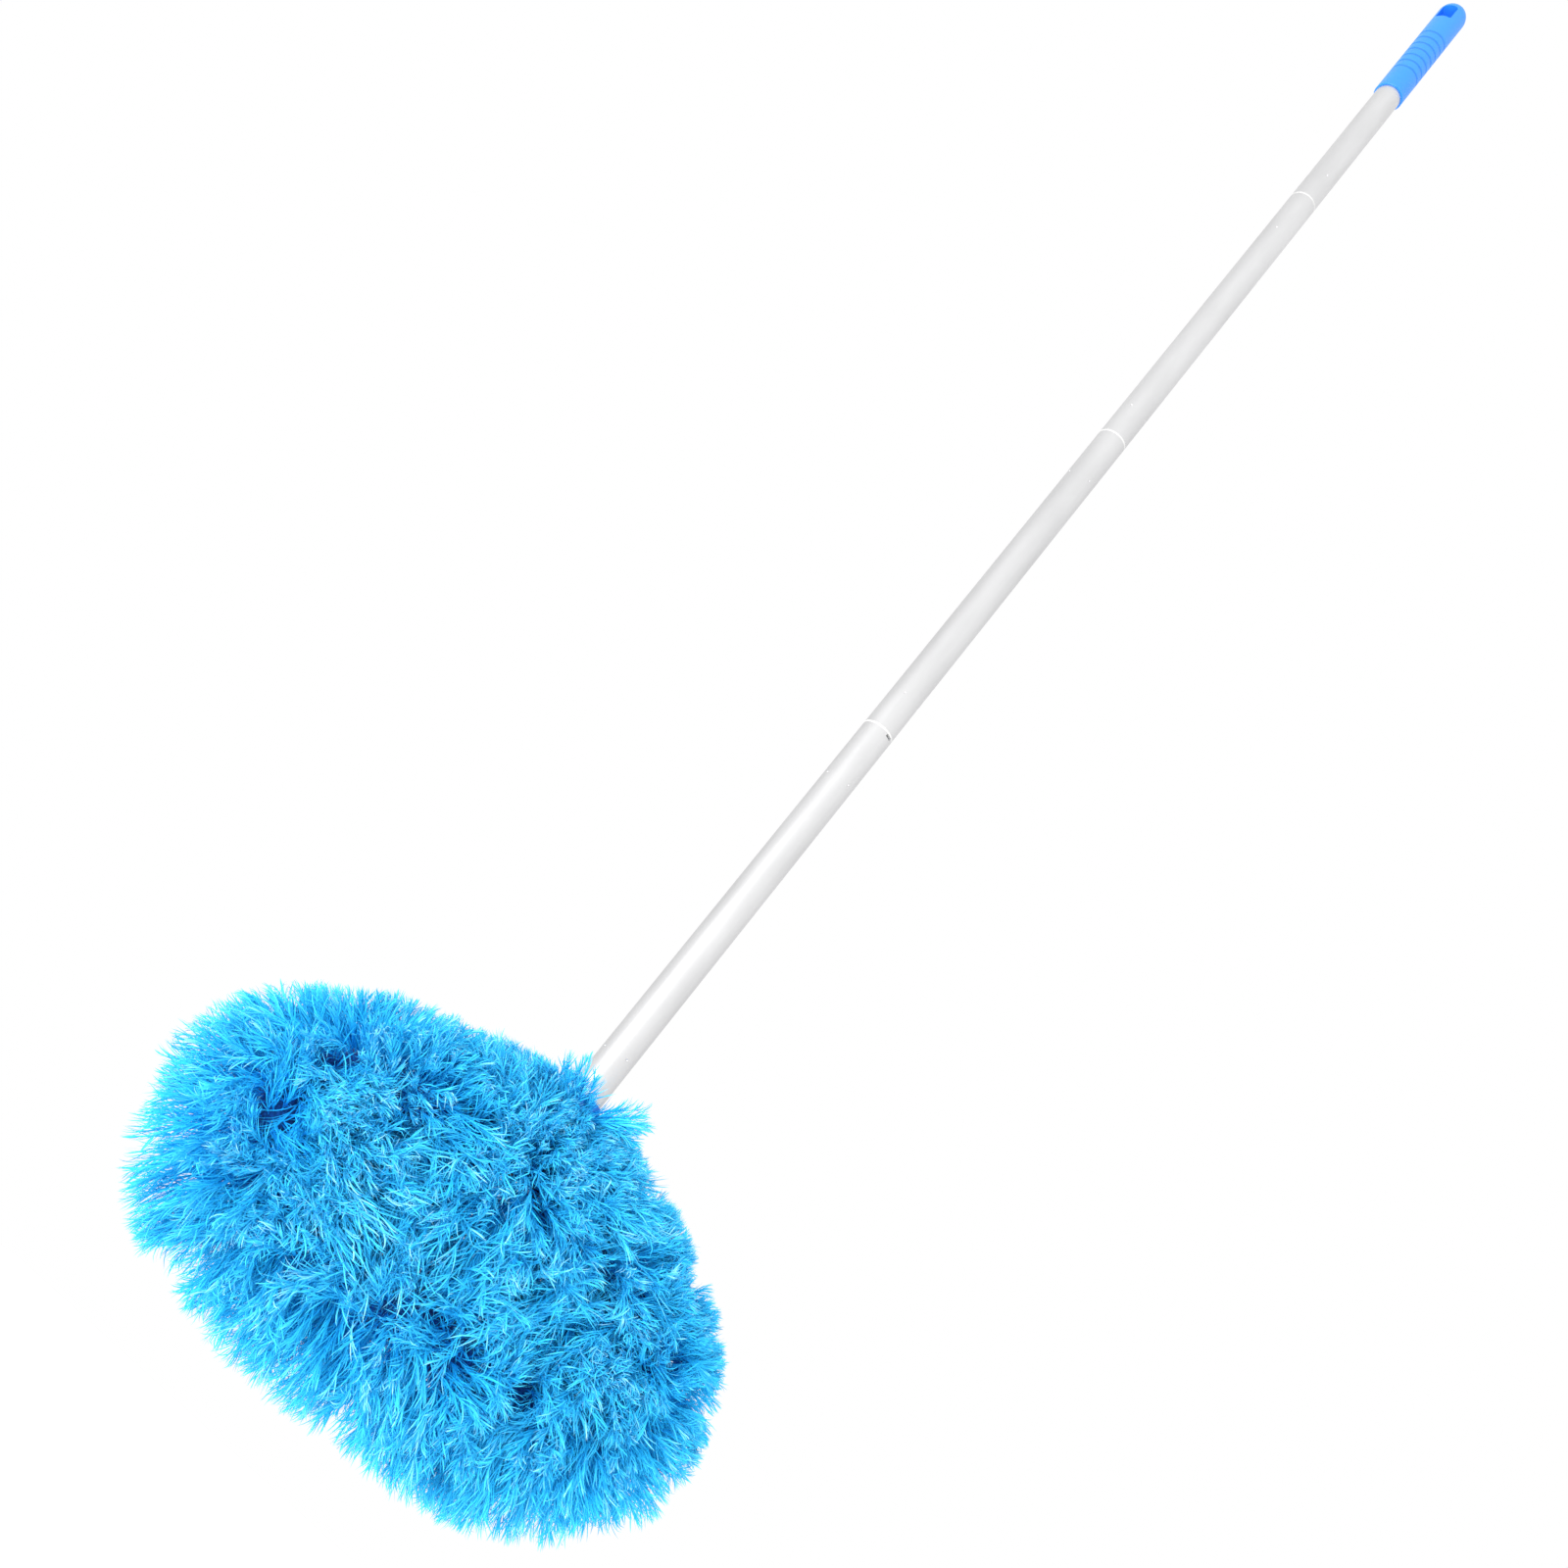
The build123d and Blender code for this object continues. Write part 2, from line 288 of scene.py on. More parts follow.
def lathe(name, profile, columns, body, material, replaced=()):
    """A ring-shaped solid round the pole: profile is a closed run of (radius or radii round it, z)."""
    angle = np.arange(columns) / columns * 2 * math.pi
    rings = []
    for radius, height in profile:
        radius = np.broadcast_to(radius, angle.shape)
        across, along = radius * np.cos(angle), radius * np.sin(angle)
        rings.append(np.stack([across, along, np.full(columns, height)], 1))
    quads = grid_faces(len(rings), columns, True)
    return new_piece(name, np.concatenate(rings), [quads], body, material, replaced)


# ---------------------------------------------------------------- material helpers
class Shader:
    """One node material, with short ways to add nodes."""

    def __init__(self, name, **values):
        self.material = bpy.data.materials.new(name)
        self.material.use_nodes = True
        self.tree = self.material.node_tree
        self.surface = self.tree.nodes["Principled BSDF"]
        for key, value in values.items():
            self.surface.inputs[key.replace("_", " ")].default_value = value

    def node(self, kind, links=(), **values):
        made = self.tree.nodes.new(kind)
        for key, value in values.items():
            setattr(made, key, value)
        for socket, source in dict(links).items():
            if hasattr(source, "links"):
                self.tree.links.new(source, made.inputs[socket])
            else:
                made.inputs[socket].default_value = source
        return made

    def ramp(self, source, stops):
        made = self.node("ShaderNodeValToRGB", {"Fac": source})
        elements = made.color_ramp.elements
        while len(elements) < len(stops):
            elements.new(0.5)
        for element, (place, colour) in zip(elements, stops):
            element.position = place
            element.color = (*colour, 1)
        return made.outputs["Color"]

    def calculate(self, operation, first, second=0.0, clamp=False):
        made = self.node("ShaderNodeMath", {0: first, 1: second}, operation=operation, use_clamp=clamp)
        return made.outputs[0]

    def place(self):
        """The point's place in the frame, in metres."""
        return self.node("ShaderNodeTexCoord").outputs["Object"]

    def spread(self, source, low, high):
        """A 0 to 1 value, stretched to lie between low and high."""
        made = self.node("ShaderNodeMapRange", {"Value": source, "To Min": low, "To Max": high})
        return made.outputs["Result"]

    def noise(self, scale, stretch=(1, 1, 1), detail=3.0):
        """Noise of this many cells a metre; stretch below 1 draws it out along that axis."""
        scaled = self.node("ShaderNodeVectorMath", {0: self.place(), 1: stretch}, operation="MULTIPLY")
        made = self.node("ShaderNodeTexNoise", {
            "Vector": scaled.outputs["Vector"], "Scale": scale, "Detail": detail})
        return made.outputs["Fac"]

    def cells(self, scale):
        """Distance from the nearest of many scattered points."""
        made = self.node("ShaderNodeTexVoronoi", {"Vector": self.place(), "Scale": scale})
        return made.outputs["Distance"]

    def bump(self, height, distance, strength=1.0):
        made = self.node("ShaderNodeBump", {"Height": height, "Distance": distance, "Strength": strength})
        self.feed("Normal", made.outputs["Normal"])

    def feed(self, socket, source):
        self.tree.links.new(source, self.surface.inputs[socket])


def srgb(red, green, blue):
    """A colour as it is seen on screen, 0 to 255, in linear light."""
    seen = np.array([red, green, blue]) / 255
    linear = np.where(seen <= 0.04045, seen / 12.92, ((seen + 0.055) / 1.055) ** 2.4)
    return tuple(float(x) for x in linear)


# ---------------------------------------------------------------- materials
def microfibre():
    """Strand colour: deeper blue at the root as painted shade in the pile, and paler to the tip as painted
    highlight, partly also paler strands; each strand a little different.
    """
    shader = Shader(
        "microfibre", Roughness=0.7, Sheen_Weight=0.1, Sheen_Roughness=0.4, Specular_IOR_Level=0.15)
    shader.surface.inputs["Sheen Tint"].default_value = (*srgb(110, 205, 255), 1)
    depth = shader.node("ShaderNodeAttribute", attribute_name="depth").outputs["Fac"]
    tone = shader.node("ShaderNodeAttribute", attribute_name="tone").outputs["Fac"]
    # Depth along the strand darkens the root as painted shade and pales the tip as painted highlight.
    inner = shader.calculate("MULTIPLY", depth, 0.8, clamp=True)
    shade = shader.calculate("ADD", inner, shader.spread(tone, -0.25, 0.25), clamp=True)
    # The first stop is painted shade deep in the pile. The last is reached by strands of high tone near
    # their tips and is partly paler strands, partly painted highlight.
    base = shader.ramp(shade, [
        (0.0, srgb(8, 166, 252)),
        (0.4, srgb(44, 206, 255)),
        (0.78, srgb(74, 214, 255)),
        (1.0, srgb(164, 234, 255)),
    ])
    scale = shader.spread(tone, 0.90, 1.06)
    varied = shader.node("ShaderNodeVectorMath", {0: base, "Scale": scale}, operation="SCALE").outputs[0]
    shader.feed("Base Color", varied)
    return shader.material


def satin_aluminium():
    """Drawn tube with a matt silver skin: fine lines along it and faint clouding."""
    shader = Shader("satin_aluminium", Metallic=1.0, Specular_IOR_Level=0.5)
    clouds = shader.noise(60, (1, 1, 0.25))
    lines = shader.noise(2600, (1, 1, 0.01), 2.0)
    silver = [(0.25, (0.60, 0.60, 0.605)), (0.75, (0.68, 0.68, 0.685))]
    shader.feed("Base Color", shader.ramp(clouds, silver))
    shader.feed("Roughness", shader.spread(lines, 0.30, 0.46))
    shader.bump(lines, 0.00001, 0.5)
    return shader.material


def moulded(name, colour, rough, shade=0.9):
    """Moulded plastic with a faint flow variation and a fine grain."""
    shader = Shader(name, IOR=1.5)
    flow = shader.noise(45)
    dark = tuple(shade * c for c in colour)
    shader.feed("Base Color", shader.ramp(flow, [(0.3, dark), (0.7, colour)]))
    grain = shader.noise(2400, detail=2.0)
    shader.feed("Roughness", shader.spread(grain, rough - 0.06, rough + 0.08))
    shader.bump(grain, 0.00003, 0.35)
    return shader.material


def in_groove(shader):
    """1 in the middle of each of the grip's grooves, 0 on the barrel between them: the mask for the
    painted shade in them.
    """
    height = shader.node("ShaderNodeSeparateXYZ", {0: shader.place()}).outputs["Z"]
    first_edge = GROOVE_LOW - GROOVE_PITCH / 2
    turns = shader.node("ShaderNodeMapRange", {
        "Value": height,
        "From Min": first_edge,
        "From Max": first_edge + GROOVES * GROOVE_PITCH,
        "To Max": float(GROOVES),
    }).outputs["Result"]
    off_middle = shader.calculate("SUBTRACT", shader.calculate("FRACT", turns), 0.5)
    edge = GROOVE_HALF_WIDTH / GROOVE_PITCH
    return shader.node("ShaderNodeMapRange", {
        "Value": shader.calculate("ABSOLUTE", off_middle),
        "From Min": 0.4 * edge,
        "From Max": edge,
        "To Min": 1.0,
        "To Max": 0.0,
    }).outputs["Result"]


def grip_plastic():
    """Blue plastic, darker inside the grip's moulded grooves from painted shade."""
    shader = Shader("grip_plastic_look", IOR=1.5)
    # Painted shade: the colour is darkened inside the grooves, where the recesses would fall in shade.
    painted_groove_shade = shader.calculate("MULTIPLY", in_groove(shader), 0.8)
    shade = shader.calculate("ADD", painted_groove_shade, shader.spread(shader.noise(45), 0.0, 0.25))
    shader.feed("Base Color", shader.ramp(shade, [(0.0, srgb(40, 138, 244)), (1.0, srgb(20, 108, 222))]))
    grain = shader.noise(2400, detail=2.0)
    shader.feed("Roughness", shader.spread(grain, 0.34, 0.48))
    shader.bump(grain, 0.00003, 0.35)
    return shader.material


def spring_steel():
    shader = Shader("spring_steel", Metallic=1.0)
    marks = shader.noise(900, detail=4.0)
    greys = [(0.3, (0.42, 0.42, 0.43)), (0.7, (0.62, 0.62, 0.63))]
    shader.feed("Base Color", shader.ramp(marks, greys))
    shader.feed("Roughness", shader.spread(marks, 0.25, 0.45))
    return shader.material


def foam_rubber():
    shader = Shader("foam_rubber", Specular_IOR_Level=0.2)
    cells = shader.cells(900.0)
    greys = [(0.1, (0.42, 0.43, 0.46)), (0.6, (0.66, 0.67, 0.70))]
    shader.feed("Base Color", shader.ramp(cells, greys))
    shader.feed("Roughness", shader.spread(cells, 0.95, 0.8))
    shader.bump(cells, 0.0003, 0.8)
    return shader.material


def knitted(name, colour):
    """Knitted polyester: a fine stitch pattern, dyed deep blue."""
    shader = Shader(name, Sheen_Weight=0.3, Specular_IOR_Level=0.2)
    stitches = shader.cells(620.0)
    dark = tuple(0.55 * c for c in colour)
    shader.feed("Base Color", shader.ramp(stitches, [(0.1, colour), (0.65, dark)]))
    shader.feed("Roughness", shader.spread(stitches, 0.75, 0.95))
    shader.bump(stitches, 0.0003, 0.7)
    return shader.material


MICROFIBRE = microfibre()
ALUMINIUM = satin_aluminium()
GRIP_PLASTIC = grip_plastic()
NECK_PLASTIC = moulded("neck_plastic_look", srgb(40, 130, 235), 0.45)
INSERT_PLASTIC = moulded("insert_plastic_look", (0.50, 0.51, 0.53), 0.45)
NYLON = moulded("washer_nylon_look", (0.72, 0.72, 0.71), 0.5)
STEEL = spring_steel()
FOAM = foam_rubber()
KNIT = knitted("knit_backing_look", srgb(12, 96, 178))
ELASTIC = knitted("elastic_look", srgb(14, 88, 165))

CAD_LOOKS = {
    "grip": GRIP_PLASTIC,
    "neck_socket": NECK_PLASTIC,
    "frame_loop": STEEL,
    "tube_": ALUMINIUM,
    "bush_": INSERT_PLASTIC,
    "washer_": NYLON,
}


def dress_cad_nodes():
    for name, node in NODES.items():
        for start, look in CAD_LOOKS.items():
            if name.startswith(start):
                node.data.materials.clear()
                node.data.materials.append(look)


# ---------------------------------------------------------------- plume
def loop_angle_map(s, angle):
    """Where a yarn that leaves the sleeve at this angle from outward ends up pointing.

    Most of the inner ones turn out of the loop's hole and the rest stay across it. In front of
    and behind the bars the strands part."""
    from_middle = np.abs(np.interp(s, LOOP_S, LOOP_XZ[:, 0]))
    bar = np.clip((PARTING_HALF_LENGTH - from_middle) / 0.02, 0, 1)
    patch = 0.5 + 0.5 * np.sin(s * 2 * math.pi / 0.043 + 3 * np.sin(s * 40) + np.where(angle > 0, 1.7, 0))
    gap = np.radians(5) + np.radians(16) * patch**2 * bar
    size = np.abs(angle)
    quarter = math.pi / 2
    outer = size * (1 - gap / quarter)
    turn = np.where(rng.random(len(s)) < INWARD_SHARE, 0.85, 0.36)
    inner = quarter + gap * 0.8 + (size - quarter) * turn
    return np.sign(angle) * np.where(size < quarter, outer, inner)


def sleeve_roots(count):
    """Yarn roots over the sleeve: loop length s and angle from outward, denser at the ends and outside."""
    density = 1 + END_DENSITY * (np.abs(LOOP_XZ[:, 0]) / LOOP_HALF_WIDTH) ** 3
    share = np.concatenate([[0], np.cumsum((density[1:] + density[:-1]) / 2 * np.diff(LOOP_S))])
    s = np.interp((np.arange(count) + rng.random(count)) / count * share[-1], share, LOOP_S)
    around = (np.arange(count) * GOLDEN + rng.random(count) * 0.02) % 1.0
    angle = (around * 2 - 1) * math.pi
    return s, angle - OUTSIDE_BIAS * np.sin(angle)


def sleeve_yarns():
    """Yarns sewn round the covered loop, gathered in locks and trimmed to the plume's outline."""
    s, angle = sleeve_roots(YARNS)
    centre, out = on_loop(s)
    leave = np.cos(angle)[:, None] * out + np.sin(angle)[:, None] * THROUGH
    end_angle = loop_angle_map(s, angle)
    end = np.cos(end_angle)[:, None] * out + np.sin(end_angle)[:, None] * THROUGH
    middle = np.clip((np.abs(angle) - 0.6) / 0.9, 0, 1)
    end = unit(end + (SCATTER + INNER_SCATTER * middle)[:, None] * rng.normal(size=(YARNS, 3)))
    length = YARN_LENGTH * (1 + YARN_SPREAD * np.clip(rng.normal(size=YARNS), -2, 2))
    root = centre + BACKING_R * leave
    path = follow(root, leave, end, length)
    path = follow(root, leave, end, length * room_to_grow(root, path[:, -1], LEAST_GROWTH))
    place = np.stack([s, angle * BACKING_R * 1.6], 1)
    gathered = gather_in_tufts(path, place, TUFTS, middle)
    lumps = 1 + LUMP_SIZE * np.sin(s * 2 * math.pi / LUMP_LENGTH + 1.5 * np.sin(angle))
    return trim(gathered, lumps, LEAST_TRIM)


def trim(path, lumps, least):
    """Draws each yarn in or out along itself to end at the plume's outline, apart from soft lumps."""
    root = path[:, :1]
    share = np.minimum(room_to_grow(path[:, 0], path[:, -1], least), MOST_TRIM) * lumps
    return root + (path - root) * np.reshape(share, (-1, 1, 1))


def room_to_grow(root, tip, least):
    """How much longer or shorter each yarn must be for its furthest barbs to reach the plume's outline."""
    share = np.linspace(0.3, 1.7, 57)
    reach = BARB_REACH / YARN_LENGTH * share
    along = root[:, None] + (tip - root)[:, None] * reach[None, :, None]
    from_centre = along - PLUME_CENTRE
    from_centre[..., 2] += PLUME_SAG * np.abs(along[..., 0])
    inside = (np.abs(from_centre / PLUME_HALF) ** PLUME_ROUNDNESS).sum(2) < 1
    furthest = share[inside.sum(1).clip(1) - 1]
    return np.clip(furthest, least, MOST_GROWTH)


def neck_yarns():
    """Yarns round the neck: the lowest close the gap under it and the highest hug the pole's end."""
    share = (np.arange(NECK_YARNS) + rng.random(NECK_YARNS)) / NECK_YARNS
    turn = 2 * math.pi * ((np.arange(NECK_YARNS) * GOLDEN) % 1.0)
    radial = np.stack([np.cos(turn), np.sin(turn), np.zeros(NECK_YARNS)], 1)
    low = LOOP_HALF_HEIGHT - BACKING_R
    high = HEAD_JOINT_Z - LOOP_Z - NECK_TOP_BARE
    root = radial * NECK_ROOT_R + UP * (low + (high - low) * share)[:, None]
    rise = np.radians(np.interp(share, [0, 0.35, 1], [-106, 0, 76]) + rng.normal(0, 11, NECK_YARNS))
    end = np.cos(rise)[:, None] * radial + np.sin(rise)[:, None] * UP
    end = unit(end + SCATTER * rng.normal(size=(NECK_YARNS, 3)))
    length = np.interp(share, [0, 0.4, 1], [0.050, 0.044, 0.022])
    length = length * (1 + 0.1 * rng.normal(size=NECK_YARNS))
    downward = 1.5 * (1 - share[:, None]) ** 4
    leave = unit(radial + 0.3 * UP * share[:, None] + downward * end)
    path = follow(root, leave, end, length)
    least = np.interp(share, [0, 0.86, 0.95], [LEAST_TRIM, LEAST_TRIM, 0.9])
    path = follow(root, leave, end, length * room_to_grow(root, path[:, -1], least))
    place = np.stack([turn * 0.02, share * 0.05], 1)
    gathered = gather_in_tufts(path, place, NECK_TUFTS, np.zeros(NECK_YARNS))
    return trim(gathered, np.ones(NECK_YARNS), least)


def follow(root, leave, end, length):
    """Points along yarns that leave one way and bend to another, sagging a little."""
    mid = (np.arange(YARN_STEPS - 1) + 0.5) / (YARN_STEPS - 1)
    bend = (mid**0.8)[None, :, None]
    heading = unit(leave[:, None] * (1 - bend) + end[:, None] * bend)
    heading[..., 2] -= DROOP * mid[None] * 1.4
    moves = unit(heading) * (length[:, None] / (YARN_STEPS - 1))[..., None]
    return np.concatenate([root[:, None], root[:, None] + np.cumsum(moves, 1)], 1)


def gather_in_tufts(path, place, tufts, flop):
    """Pulls the tips of neighbouring yarns together, and leans each tuft its own way.

    Where flop is 1 the locks lie right over, and where it is 0 they stand."""
    leader = rng.choice(len(path), tufts, replace=False)
    nearest = np.linalg.norm(place[:, None] - place[None, leader], axis=2).argmin(1)
    along = np.linspace(0, 1, YARN_STEPS)[None, :, None]
    pull = along**1.6 * TUFT_PULL * rng.uniform(0.55, 1.2, len(path))[:, None, None]
    lean = (LEAN + FLOP * flop[leader])[:, None, None] * rng.normal(size=(tufts, 1, 3))
    lean[..., 2] -= FLOP * 0.4 * flop[leader][:, None]
    stray = STRAY * rng.normal(size=(len(path), 1, 3))
    return path + (path[leader[nearest]] - path) * pull + (lean[nearest] + stray) * along**1.7


def open_pits(path):
    """Pushes strands aside from the pits in the front, and from the same places mirrored in the back."""
    for x, z, radius in PITS:
        for side in (-1, 1):
            ragged = PIT_RAGGED * radius * rng.normal(size=(len(path), 1, 2))
            offset = path[..., [0, 2]] - np.array([-side * x, z]) + ragged
            away = np.linalg.norm(offset, axis=-1)
            reach = np.clip(path[..., 1] * side / PIT_DEPTH, 0, 1)
            push = PIT_OPENING * radius * np.clip(1 - away / radius, 0, 1) * reach
            path[..., [0, 2]] += offset / np.maximum(away, 1e-5)[..., None] * push[..., None]
    return path


def clear_of_pole(path):
    """Keeps strands out of the tube that comes down into the plume."""
    high = path[..., 2] + LOOP_Z > HEAD_JOINT_Z - POLE_CLEAR_DEPTH
    radius = np.hypot(path[..., 0], path[..., 1])
    push = np.where(high & (radius < POLE_CLEAR_R), POLE_CLEAR_R / np.maximum(radius, 1e-5), 1.0)
    path[..., :2] *= push[..., None]
    return path


def barb_roots(yarns):
    """Where the barbs spring from: their yarns, their shares along them, the points and headings."""
    owner = np.repeat(np.arange(len(yarns)), BARBS_PER_YARN)
    start = 0.12 + 0.86 * np.tile((np.arange(BARBS_PER_YARN) + 0.5) / BARBS_PER_YARN, len(yarns))
    start += rng.uniform(-0.03, 0.03, len(owner))
    spot = start * (YARN_STEPS - 1)
    low = np.clip(spot.astype(int), 0, YARN_STEPS - 2)
    share = (spot - low)[:, None]
    root = yarns[owner, low] * (1 - share) + yarns[owner, low + 1] * share
    return owner, start, root, unit(yarns[owner, low + 1] - yarns[owner, low])


def barb_paths(yarns, lengths):
    """Fine barbs along each yarn, laid forward and curling like the vane of a feather."""
    owner, start, root, ahead = barb_roots(yarns)
    count = len(owner)
    side = unit(np.cross(ahead, unit(rng.normal(size=(count, 3)))))
    cone = np.abs(rng.normal(BARB_CONE, BARB_CONE_SPREAD, count))[:, None]
    leave = unit(ahead + side * np.tan(cone))
    end = unit(ahead + side * np.tan(cone) * 0.5 + SCATTER * rng.normal(size=(count, 3)))
    furthest = BARB_REACH * lengths[owner] / YARN_LENGTH
    reach = furthest - start * lengths[owner]
    length = np.minimum(BARB_LENGTH * rng.uniform(0.6, 1.15, count), reach)
    mid = ((np.arange(BARB_STEPS - 1) + 0.5) / (BARB_STEPS - 1))[None, :, None]
    shared_curl = YARN_CURL * rng.normal(size=(len(yarns), 1, 3))[owner]
    curl = shared_curl + BARB_CURL * rng.normal(size=(count, 1, 3))
    heading = unit(leave[:, None] * (1 - mid) + end[:, None] * mid) + curl * mid**1.5
    heading[..., 2] -= DROOP * mid[..., 0]
    moves = unit(heading) * (length[:, None] / (BARB_STEPS - 1))[..., None]
    path = np.concatenate([root[:, None], root[:, None] + np.cumsum(moves, 1)], 1)
    step = np.linspace(0, 1, BARB_STEPS)[None]
    depth = ((start * lengths[owner])[:, None] + step * length[:, None]) / furthest[:, None]
    return path, depth, owner


def ribbons(path, width, taper):
    """Tapered strips along many paths, each ending in a point: points, quads and tip triangles."""
    count, steps = path.shape[:2]
    ahead = unit(np.gradient(path, axis=1))
    twist = unit(rng.normal(size=(count, 1, 3)))
    side = unit(np.cross(ahead, np.broadcast_to(twist, ahead.shape)))[:, :-1]
    half = ((width * 0.5)[:, None] * taper[None])[:, :-1, None]
    points = np.concatenate([path[:, :-1] - side * half, path[:, :-1] + side * half, path[:, -1:]], 1)
    rows = steps - 1
    first = (np.arange(count) * (2 * rows + 1))[:, None]
    quads = [first + np.array([[row, row + 1, rows + row + 1, rows + row]]) for row in range(rows - 1)]
    tips = first + np.array([[rows - 1, 2 * rows, 2 * rows - 1]])
    return points.reshape(-1, 3), np.concatenate(quads), tips


def strand_piece(name, path, depth, tone, width, taper):
    """One piece of strands; depth in the pile and the strand's own tone drive its colour, with painted
    shade at the root and a painted highlight at the tip.
    """
    points, quads, tips = ribbons(path, width, taper)
    piece = new_piece(
        name, to_frame(points), [quads, tips], "head", MICROFIBRE, ["pile"])
    per_point = np.concatenate([depth[:, :-1], depth[:, :-1], depth[:, -1:]], 1)
    tones = np.repeat(tone, per_point.shape[1])
    for label, values in (("depth", per_point), ("tone", tones)):
        layer = piece.data.attributes.new(label, "FLOAT", "POINT")
        layer.data.foreach_set("value", values.astype(np.float32).ravel())


def make_plume():
    """Feather yarns sewn round the loop and neck; each stretch of the loop is a piece of its own."""
    yarns = np.concatenate([sleeve_yarns(), neck_yarns()])
    yarns = clear_of_pole(open_pits(yarns))
    lengths = np.linalg.norm(np.diff(yarns, axis=1), axis=2).sum(1)
    barbs, depth, owner = barb_paths(yarns, lengths)
    barbs = clear_of_pole(open_pits(barbs))
    yarn_tone = np.clip(rng.normal(0.5, TONE_SPREAD, len(yarns)), 0, 1)
    barb_tone = np.clip(yarn_tone[owner] + rng.normal(0, TONE_SPREAD, len(owner)), 0, 1)
    along = np.linspace(0, YARN_LENGTH / BARB_REACH, YARN_STEPS)
    core_depth = np.broadcast_to(along, (len(yarns), YARN_STEPS))
    names = ["top_right", "right_end", "bottom_right", "bottom_left", "left_end", "top_left", "neck"]
    stretches = len(names) - 1
    which = np.concatenate([np.arange(YARNS) * stretches // YARNS, np.full(NECK_YARNS, stretches)])
    for index, name in enumerate(names):
        mine = which == index
        width = np.full(mine.sum(), CORE_WIDTH)
        tone = yarn_tone[mine]
        strand_piece(f"pile_yarns_{name}", yarns[mine], core_depth[mine], tone, width, CORE_TAPER)
        own = mine[owner]
        width = BARB_WIDTH * rng.uniform(LEAST_BARB_WIDTH, MOST_BARB_WIDTH, own.sum())
        strand_piece(f"pile_barbs_{name}", barbs[own], depth[own], barb_tone[own], width, BARB_TAPER)


# ---------------------------------------------------------------- sleeve, cover and cuff
def swept_tube(radius, columns, step):
    """Rings of points round the loop's centreline: radius is a function of length and angle."""
    s = np.linspace(0, LOOP_LENGTH, round(LOOP_LENGTH / step))
    centre, out = on_loop(s)
    angle = np.arange(columns) / columns * 2 * math.pi
    size = radius(s[:, None], angle[None])[..., None]
    spoke = np.cos(angle)[None, :, None] * out[:, None] + np.sin(angle)[None, :, None] * THROUGH
    return (centre[:, None] + spoke * size).reshape(-1, 3), grid_faces(len(s), columns)


def foam_radius(s, angle):
    return FOAM_R - FOAM_RELIEF + FOAM_RELIEF * np.sin(5 * angle + 60 * s) * np.sin(90 * s)


def make_foam():
    """The foam sleeve, a little uneven, with closed ends at the neck."""
    points, quads = swept_tube(foam_radius, FOAM_COLUMNS, FOAM_STEP)
    ring = np.arange(FOAM_COLUMNS)
    ends = np.array([ring[::-1], len(points) - FOAM_COLUMNS + ring])
    foam_piece = new_piece(
        "foam_sleeve_soft", to_frame(points), [quads, ends], "head", FOAM, ["foam_sleeve"])
    return foam_piece


def cover_radius(s, angle):
    return BACKING_R - KNIT_RELIEF + KNIT_RELIEF * np.cos(KNIT_RIBS * angle)


def make_cover(foam_piece):
    """The ribbed knitted tube stretched over the foam, with its collar and its hem up the neck."""
    points, quads = swept_tube(cover_radius, KNIT_COLUMNS, KNIT_STEP)
    cover = new_piece(
        "cover_knit", to_frame(points), [quads], "head", KNIT, ["cover_backing"])
    collar = make_collar()
    cuff = make_cuff()


def make_collar():
    """The same knit round the neck, from the loop up to the hem."""
    low = LOOP_Z + LOOP_HALF_HEIGHT + COLLAR_START
    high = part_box("neck_cuff")[0].z
    angle = np.arange(KNIT_COLUMNS) / KNIT_COLUMNS * 2 * math.pi
    wave = KNIT_RELIEF * np.cos(KNIT_RIBS * angle)
    outside = [(COLLAR_OUTER_R + wave, z) for z in np.linspace(low, high, 14)]
    inside = [(COLLAR_INNER_R + wave, z) for z in (high, low)]
    return lathe("cover_collar", outside + inside, KNIT_COLUMNS, "head", KNIT)


def make_cuff():
    """The elastic hem, gathered into small pleats where it grips the neck's groove."""
    low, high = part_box("neck_cuff")
    angle = np.arange(CUFF_COLUMNS) / CUFF_COLUMNS * 2 * math.pi
    gather = CUFF_RELIEF * np.cos(CUFF_PLEATS * angle)
    outside = [(radius + gather, low.z + (high.z - low.z) * share) for share, radius in CUFF_BULGE]
    inside = [(CUFF_INNER_R, high.z), (CUFF_INNER_R, low.z)]
    profile = outside + inside
    return lathe("neck_cuff_gathered", profile, CUFF_COLUMNS, "head", ELASTIC, ["neck_cuff"])


# ---------------------------------------------------------------- threaded plugs
def thread_radii(height, angle, crest):
    """Radius of a right-hand thread with rounded flanks, at one height, all the way round."""
    phase = (height / THREAD_PITCH - angle / (2 * math.pi)) % 1.0
    ridge = np.clip((THREAD_FOOT - np.abs(phase - 0.5)) / THREAD_FLANK, 0, 1)
    return crest - THREAD_DEPTH * (1 - ridge)


def plug_sizes(node):
    """A CAD plug's bore and shank radii, and the heights of its bottom, its shoulder and its top."""
    points = node_points(node)
    radius = np.hypot(points[:, 0], points[:, 1])
    shoulder = points[radius > radius.max() - 0.001, 2].min()
    return radius.min(), radius.max(), points[:, 2].min(), shoulder, points[:, 2].max()


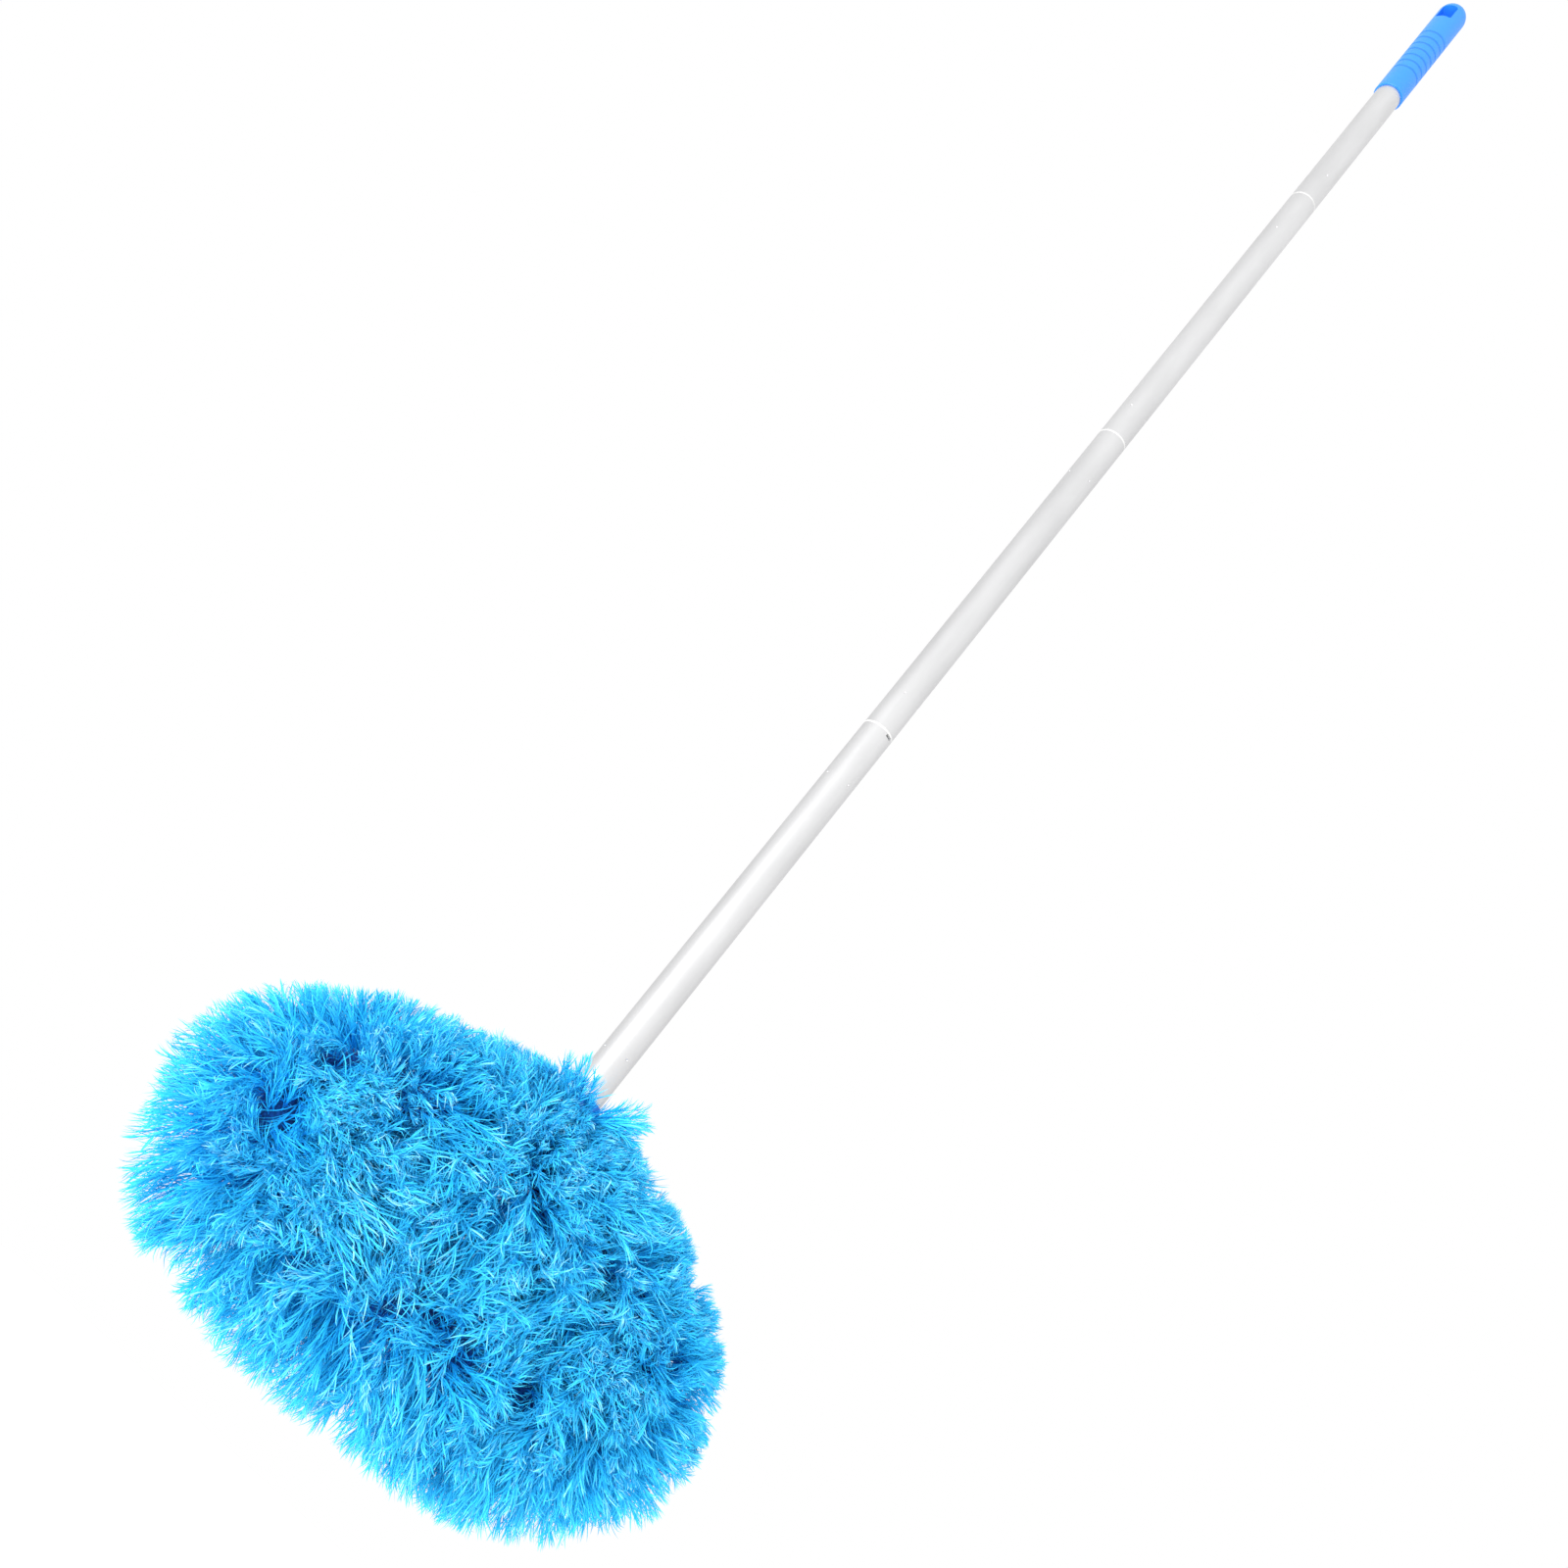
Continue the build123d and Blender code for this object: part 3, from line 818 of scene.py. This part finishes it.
def make_plug(number, body):
    """A staked plug with its helical thread, on the CAD plug's sizes."""
    node = f"plug_{number}"
    bore_r, shank_r, bottom, shoulder, top = plug_sizes(node)
    edge_r = shank_r - SHANK_BREAK
    wall_r = shank_r - SHANK_GAP
    profile = [(bore_r, top), (edge_r, top), (wall_r, top - SHANK_BREAK)]
    profile += [(wall_r, shoulder + 0.0003), (edge_r, shoulder)]
    angle = np.arange(THREAD_COLUMNS) / THREAD_COLUMNS * 2 * math.pi
    thread_end = bottom + THREAD_CHAMFER
    for height in np.linspace(shoulder - 0.0001, thread_end, THREAD_ROWS):
        runout = np.clip((shoulder - height) / 0.0015, 0.2, 1)
        profile.append((THREAD_R - (THREAD_R - thread_radii(height, angle, THREAD_R)) * runout, height))
    tip = thread_radii(thread_end, angle, THREAD_R)
    profile += [(np.minimum(tip, THREAD_R - THREAD_CHAMFER * 0.9), bottom), (bore_r, bottom)]
    lathe(f"{node}_threaded", profile, THREAD_COLUMNS, body, INSERT_PLASTIC, [node])


dress_cad_nodes()
make_cover(make_foam())
make_plug(4, "grip_section")
for plug_number in (3, 2, 1):
    make_plug(plug_number, "lower_pole")
make_plume()


# ---------------------------------------------------------------- stage, light and camera
def make_world():
    """Pure white to the camera; to all else a white tent, dimmer behind the object than before it."""
    world = bpy.data.worlds.new("studio")
    bpy.context.scene.world = world
    world.use_nodes = True
    tree = world.node_tree
    background = tree.nodes["Background"]
    place = tree.nodes.new("ShaderNodeTexCoord")
    ahead = tree.nodes.new("ShaderNodeVectorMath")
    ahead.operation = "DOT_PRODUCT"
    ahead.inputs[1].default_value = (-math.sin(CAMERA_AZIMUTH), math.cos(CAMERA_AZIMUTH), 0)
    tent = tree.nodes.new("ShaderNodeMapRange")
    tent.inputs["From Min"].default_value = -1.0
    tent.inputs["From Max"].default_value = 1.0
    tent.inputs["To Min"].default_value = TENT_FRONT
    tent.inputs["To Max"].default_value = TENT_BACK
    seen = tree.nodes.new("ShaderNodeLightPath")
    choose = tree.nodes.new("ShaderNodeMix")
    tree.links.new(place.outputs["Generated"], ahead.inputs[0])
    tree.links.new(ahead.outputs["Value"], tent.inputs["Value"])
    tree.links.new(seen.outputs["Is Camera Ray"], choose.inputs["Factor"])
    tree.links.new(tent.outputs["Result"], choose.inputs["A"])
    choose.inputs["B"].default_value = 1.0
    tree.links.new(choose.outputs["Result"], background.inputs["Strength"])
    background.inputs["Color"].default_value = (1, 1, 1, 1)


def make_floor():
    """A plain white floor below the hanging duster, bright enough to meet the white backdrop."""
    half = FLOOR_HALF_WIDTH
    corners = [(x, y, FLOOR_Z) for x, y in ((-half, -half), (half, -half), (half, half), (-half, half))]
    mesh = bpy.data.meshes.new("floor")
    mesh.from_pydata(corners, [], [(0, 1, 2, 3)])
    floor = bpy.data.objects.new("floor", mesh)
    bpy.context.scene.collection.objects.link(floor)
    shader = Shader("white_floor", Roughness=0.9, Emission_Strength=0.45)
    shader.surface.inputs["Base Color"].default_value = (0.9, 0.9, 0.9, 1)
    shader.surface.inputs["Emission Color"].default_value = (1, 1, 1, 1)
    mesh.materials.append(shader.material)


def aim_axes():
    """The camera's right, up and forward directions."""
    forward = Vector((
        -math.sin(CAMERA_AZIMUTH) * math.cos(CAMERA_PITCH),
        math.cos(CAMERA_AZIMUTH) * math.cos(CAMERA_PITCH),
        math.sin(CAMERA_PITCH),
    ))
    level = forward.cross(Vector((0, 0, 1))).normalized()
    upright = level.cross(forward)
    right = level * math.cos(CAMERA_ROLL) + upright * math.sin(CAMERA_ROLL)
    up = right.cross(forward)
    return right, up, forward


def make_camera():
    right, up, forward = aim_axes()
    data = bpy.data.cameras.new("camera")
    data.lens = CAMERA_LENS
    data.clip_end = 50
    camera = bpy.data.objects.new("camera", data)
    bpy.context.scene.collection.objects.link(camera)
    across_pole = right * math.cos(CAMERA_ROLL) - up * math.sin(CAMERA_ROLL)
    aim = Vector((0, 0, -AIM_BELOW_SLOT))
    place = aim - forward * CAMERA_DISTANCE - across_pole * AIM_OFFSET
    axes = Matrix((right, up, -forward)).transposed().to_4x4()
    camera.matrix_world = Matrix.Translation(place) @ axes
    bpy.context.scene.camera = camera


def make_lamp(name, size, energy, place, target):
    data = bpy.data.lights.new(name, "AREA")
    data.shape = "DISK"
    data.size = size
    data.energy = energy
    lamp = bpy.data.objects.new(name, data)
    bpy.context.scene.collection.objects.link(lamp)
    lamp.location = place
    lamp.rotation_mode = "QUATERNION"
    lamp.rotation_quaternion = (place - target).to_track_quat("Z", "Y")


def make_lights():
    """One broad soft key from the front, upper left of the picture."""
    right, up, forward = aim_axes()
    target = Vector((0, 0, LOOP_Z))
    place = target - forward * KEY_BACK + up * KEY_UP - right * KEY_LEFT
    make_lamp("key", KEY_SIZE, KEY_POWER, place, target)


make_world()
make_floor()
make_lights()
make_camera()
bpy.context.scene.view_settings.view_transform = "Standard"
